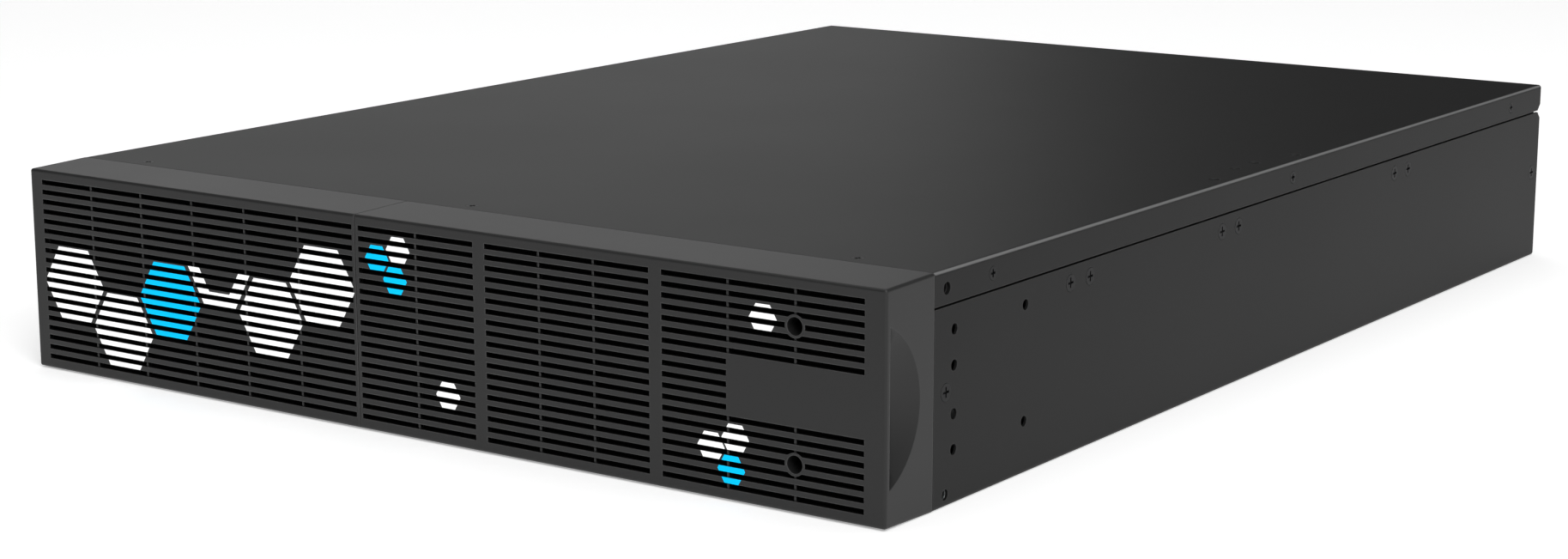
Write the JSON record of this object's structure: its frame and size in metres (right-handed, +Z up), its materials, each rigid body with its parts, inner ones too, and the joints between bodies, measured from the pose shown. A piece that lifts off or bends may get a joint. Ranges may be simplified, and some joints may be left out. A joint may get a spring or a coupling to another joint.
{
  "type": "uninterruptible power supply",
  "caption": "Two-unit rack uninterruptible power supply: folded steel case, two pull-off grille bezels, a sliding battery tray, rear fans and mains outlets.",
  "frame": {"origin": "on the floor at the centre of the footprint", "axes": "+X to the right seen from the front, +Y from the grille to the rear panel, +Z up"},
  "size_m": [0.438, 0.61, 0.088],
  "materials": {
    "painted_steel": "matte",
    "zinc_steel": "satin",
    "black_screw": "satin",
    "bright_screw": "satin",
    "bezel_plastic": "matte",
    "filter_foam": "matte",
    "handle_plastic": "matte",
    "battery_plastic": "matte",
    "battery_lid_plastic": "matte",
    "tinned_brass": "satin",
    "wire_insulation": "satin",
    "connector_plastic": "matte",
    "circuit_board": "satin",
    "extruded_aluminium": "satin",
    "chip_plastic": "matte",
    "capacitor_sleeve": "gloss",
    "copper_winding": "satin",
    "relay_plastic": "satin",
    "ferrite": "satin",
    "fan_plastic": "matte",
    "guard_wire": "polished",
    "socket_plastic": "matte",
    "breaker_plastic": "satin",
    "button_plastic": "satin",
    "port_shell": "satin",
    "terminal_plastic": "matte",
    "light_pipe": "gloss"
  },
  "bodies": {
    "case": {"base_chassis": "painted_steel", "bay_divider": "zinc_steel", "bay_socket": "connector_plastic", "board_screws": "bright_screw", "board_standoffs": "tinned_brass", "breaker_bodies": "socket_plastic", "bus_capacitors": "capacitor_sleeve", "button_housing": "socket_plastic", "chokes": "copper_winding", "control_board": "circuit_board", "cover_screws": "black_screw", "cross_braces": "zinc_steel", "fan_frames": "fan_plastic", "fan_guards": "guard_wire", "front_plate": "zinc_steel", "heat_sinks": "extruded_aluminium", "inlet_blades": "tinned_brass", "internal_wiring": "wire_insulation", "large_outlet": "socket_plastic", "main_board": "circuit_board", "mains_inlet": "socket_plastic", "output_board": "circuit_board", "panel_screws": "bright_screw", "power_transistors": "chip_plastic", "rear_panel": "painted_steel", "relays": "relay_plastic", "serial_port": "port_shell", "side_screws": "black_screw", "slot_cover": "painted_steel", "small_outlets": "socket_plastic", "socket_bracket": "zinc_steel", "socket_pins": "tinned_brass", "status_lights": "light_pipe", "stop_terminal": "terminal_plastic", "top_cover": "painted_steel", "transformer_coil": "copper_winding", "transformer_core": "ferrite", "tray_rails": "zinc_steel", "usb_port": "port_shell"},
    "left_bezel_body": {"left_bezel": "bezel_plastic", "left_filter": "filter_foam"},
    "right_bezel_body": {"right_bezel": "bezel_plastic", "right_filter": "filter_foam", "bezel_screws": "bright_screw"},
    "tray_body": {"battery_tray": "zinc_steel", "tray_cover": "zinc_steel", "tray_screws": "bright_screw", "tray_handle": "handle_plastic", "tray_thumbscrews": "bright_screw", "battery_cases": "battery_plastic", "battery_lids": "battery_lid_plastic", "battery_terminals": "tinned_brass", "battery_wiring": "wire_insulation", "tray_plug": "connector_plastic"},
    "left_fan_wheel": {"fan_rotor_left": "fan_plastic"},
    "right_fan_wheel": {"fan_rotor_right": "fan_plastic"},
    "input_breaker_cap": {"input_breaker_button": "breaker_plastic"},
    "output_breaker_cap": {"output_breaker_button": "breaker_plastic"},
    "power_button_cap": {"power_button": "button_plastic"}
  },
  "joints": [
    {"name": "left_bezel_pull", "type": "slide", "parent": "case", "child": "left_bezel_body", "axis": [0, -1, 0], "range_m": [0, 0.15]},
    {"name": "right_bezel_pull", "type": "slide", "parent": "case", "child": "right_bezel_body", "axis": [0, -1, 0], "range_m": [0, 0.5]},
    {"name": "tray_slide", "type": "slide", "parent": "case", "child": "tray_body", "axis": [0, -1, 0], "range_m": [0, 0.4]},
    {"name": "left_fan_spin", "type": "hinge", "parent": "case", "child": "left_fan_wheel", "pos_m": [-0.1718, 0.2738, 0.044], "axis": [0, 1, 0], "continuous": true},
    {"name": "right_fan_spin", "type": "hinge", "parent": "case", "child": "right_fan_wheel", "pos_m": [-0.0878, 0.2738, 0.044], "axis": [0, 1, 0], "continuous": true},
    {"name": "input_breaker_trip", "type": "slide", "parent": "case", "child": "input_breaker_cap", "axis": [0, 1, 0], "range_m": [0, 0.003]},
    {"name": "output_breaker_trip", "type": "slide", "parent": "case", "child": "output_breaker_cap", "axis": [0, 1, 0], "range_m": [0, 0.003]},
    {"name": "power_button_press", "type": "slide", "parent": "case", "child": "power_button_cap", "axis": [0, -1, 0], "range_m": [0, 0.0018], "stiffness_N_per_m": 700}
  ],
  "couplings": [
    {"joint": "tray_slide", "follows": "right_bezel_pull", "ratio": 0.8}
  ]
}
